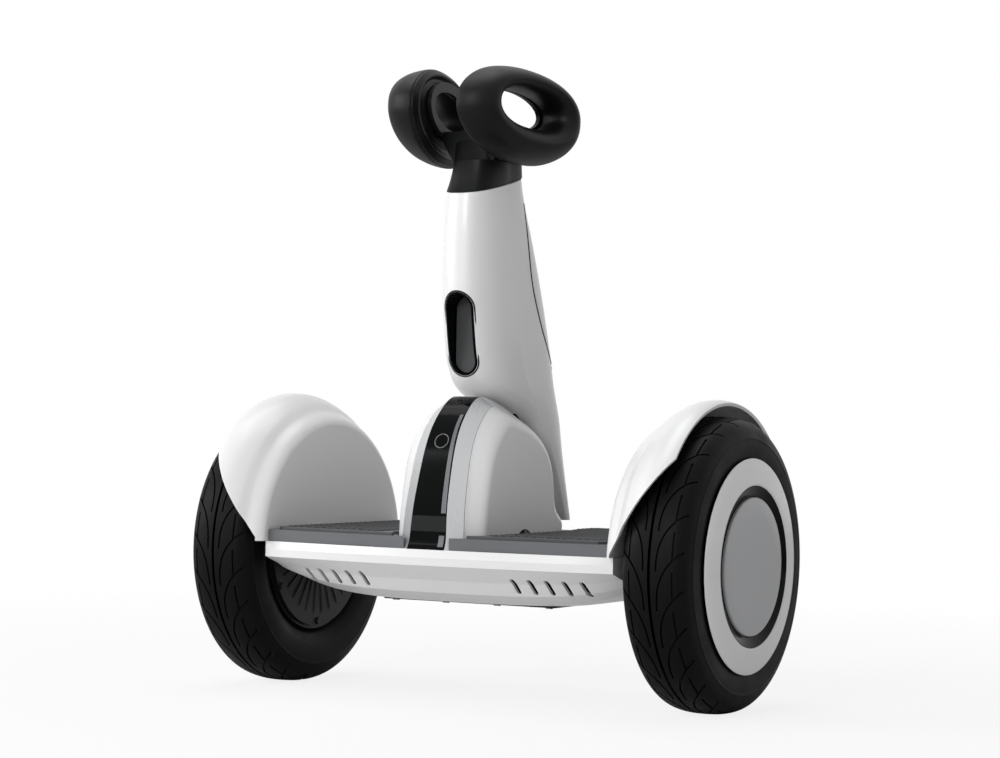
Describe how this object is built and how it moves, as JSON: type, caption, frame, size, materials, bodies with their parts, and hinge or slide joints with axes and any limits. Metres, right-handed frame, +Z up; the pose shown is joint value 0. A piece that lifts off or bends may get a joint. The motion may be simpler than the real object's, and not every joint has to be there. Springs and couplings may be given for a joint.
{
  "type": "self balancing personal transporter",
  "caption": "Self-balancing personal transporter: pneumatic tyres on hub motors, foot deck with rubber mats, flared fenders, front cowl with headlight, raked stem and padded knee bar loops.",
  "frame": {"origin": "on the floor, midway between the two wheels, under the wheel axis", "axes": "+Z up; the front with the headlight faces -Y; +X is the side of the right-hand wheel seen from behind; the wheels turn about X"},
  "size_m": [0.562, 0.2822, 0.6156],
  "materials": {
    "tyre_rubber": "matt moulded rubber",
    "dark_cast_metal": "satin black paint on cast aluminium",
    "bearing_steel": "ground steel",
    "white_trim_plastic": "gloss",
    "hub_cap_grey": "satin",
    "white_shell_plastic": "satin paint",
    "dark_moulded_plastic": "fine grain",
    "frame_aluminium": "cast",
    "board_plastic": "satin",
    "step_grey_plastic": "fine grain",
    "mat_rubber": "ribbed, matt",
    "black_gloss_plastic": "high gloss",
    "silver_band_plastic": "metallic paint",
    "button_plastic": "satin",
    "clear_lens": "clear polycarbonate",
    "tail_lens_plastic": "gloss",
    "bronze_bush": "sintered",
    "soft_pad_rubber": "soft, matt"
  },
  "bodies": {
    "chassis": {"axle_left": "bearing_steel", "axle_right": "bearing_steel", "motor_stator_left": "bearing_steel", "motor_stator_right": "bearing_steel", "step_plate_left": "step_grey_plastic", "step_plate_right": "step_grey_plastic", "fender_left": "white_shell_plastic", "fender_right": "white_shell_plastic", "cowl_shell_left": "white_shell_plastic", "cowl_shell_right": "white_shell_plastic", "lower_hull": "white_shell_plastic", "battery_cover": "dark_moulded_plastic", "battery_pack": "frame_aluminium", "chassis_frame": "frame_aluminium", "control_board": "board_plastic", "balance_sensor_board": "board_plastic", "motor_controller": "frame_aluminium", "foot_switches": "mat_rubber", "front_panel": "black_gloss_plastic", "headlight_lens": "clear_lens", "cowl_top_cap": "black_gloss_plastic", "bezel_band": "silver_band_plastic", "rear_deck_cover": "dark_moulded_plastic", "tail_light": "tail_lens_plastic", "charge_socket": "dark_moulded_plastic", "battery_cover_screws": "bearing_steel", "pivot_bracket": "frame_aluminium", "pivot_bearings": "bronze_bush"},
    "steering": {"pivot_shaft": "bearing_steel", "steering_arm": "frame_aluminium", "stem_tube": "frame_aluminium", "stem_front_shell": "white_shell_plastic", "stem_rear_cover": "white_shell_plastic", "pocket_liner": "black_gloss_plastic"},
    "knee_bar": {"inner_tube": "frame_aluminium", "handle_neck": "dark_moulded_plastic", "handle_core": "dark_moulded_plastic", "knee_pad_left": "soft_pad_rubber", "knee_pad_right": "soft_pad_rubber"},
    "power_button": {"power_button": "button_plastic"},
    "height_release": {"release_button": "dark_moulded_plastic"},
    "charge_cap": {"charge_cap": "mat_rubber"},
    "wheel_left": {"tyre_left": "tyre_rubber", "wheel_drum_left": "dark_cast_metal", "motor_end_cover_left": "dark_cast_metal", "wheel_bearings_left": "bearing_steel", "end_cover_screws_left": "bearing_steel", "magnet_ring_left": "bearing_steel", "wheel_trim_ring_left": "white_trim_plastic", "hub_cap_left": "hub_cap_grey"},
    "mat_left": {"foot_mat_left": "mat_rubber"},
    "wheel_right": {"tyre_right": "tyre_rubber", "wheel_drum_right": "dark_cast_metal", "motor_end_cover_right": "dark_cast_metal", "wheel_bearings_right": "bearing_steel", "end_cover_screws_right": "bearing_steel", "magnet_ring_right": "bearing_steel", "wheel_trim_ring_right": "white_trim_plastic", "hub_cap_right": "hub_cap_grey"},
    "mat_right": {"foot_mat_right": "mat_rubber"}
  },
  "joints": [
    {"name": "wheel_left_spin", "type": "hinge", "parent": "chassis", "child": "wheel_left", "pos_m": [-0.2395, 0, 0.14], "axis": [1, 0, 0], "continuous": true},
    {"name": "wheel_right_spin", "type": "hinge", "parent": "chassis", "child": "wheel_right", "pos_m": [0.2395, 0, 0.14], "axis": [1, 0, 0], "continuous": true},
    {"name": "steering_lean", "type": "hinge", "parent": "chassis", "child": "steering", "pos_m": [0, 0, 0.16], "axis": [0, 1, 0], "range_deg": [-7, 7], "stiffness_Nm_per_rad": 120},
    {"name": "height_adjust", "type": "slide", "parent": "steering", "child": "knee_bar", "axis": [0, -0.2419, 0.9703], "range_m": [0, 0.1]},
    {"name": "power_button_press", "type": "slide", "parent": "chassis", "child": "power_button", "axis": [0, 0.8984, -0.4391], "range_m": [0, 0.0012], "stiffness_N_per_m": 800},
    {"name": "height_release_press", "type": "slide", "parent": "knee_bar", "child": "height_release", "axis": [0, -1, 0], "range_m": [0, 0.003], "stiffness_N_per_m": 600},
    {"name": "charge_cap_swing", "type": "hinge", "parent": "chassis", "child": "charge_cap", "pos_m": [0, 0.1382, 0.15175], "axis": [1, 0, 0], "range_deg": [0, 110]},
    {"name": "mat_left_press", "type": "slide", "parent": "chassis", "child": "mat_left", "axis": [0, 0, -1], "range_m": [0, 0.0015], "stiffness_N_per_m": 20000},
    {"name": "mat_right_press", "type": "slide", "parent": "chassis", "child": "mat_right", "axis": [0, 0, -1], "range_m": [0, 0.0015], "stiffness_N_per_m": 20000}
  ]
}
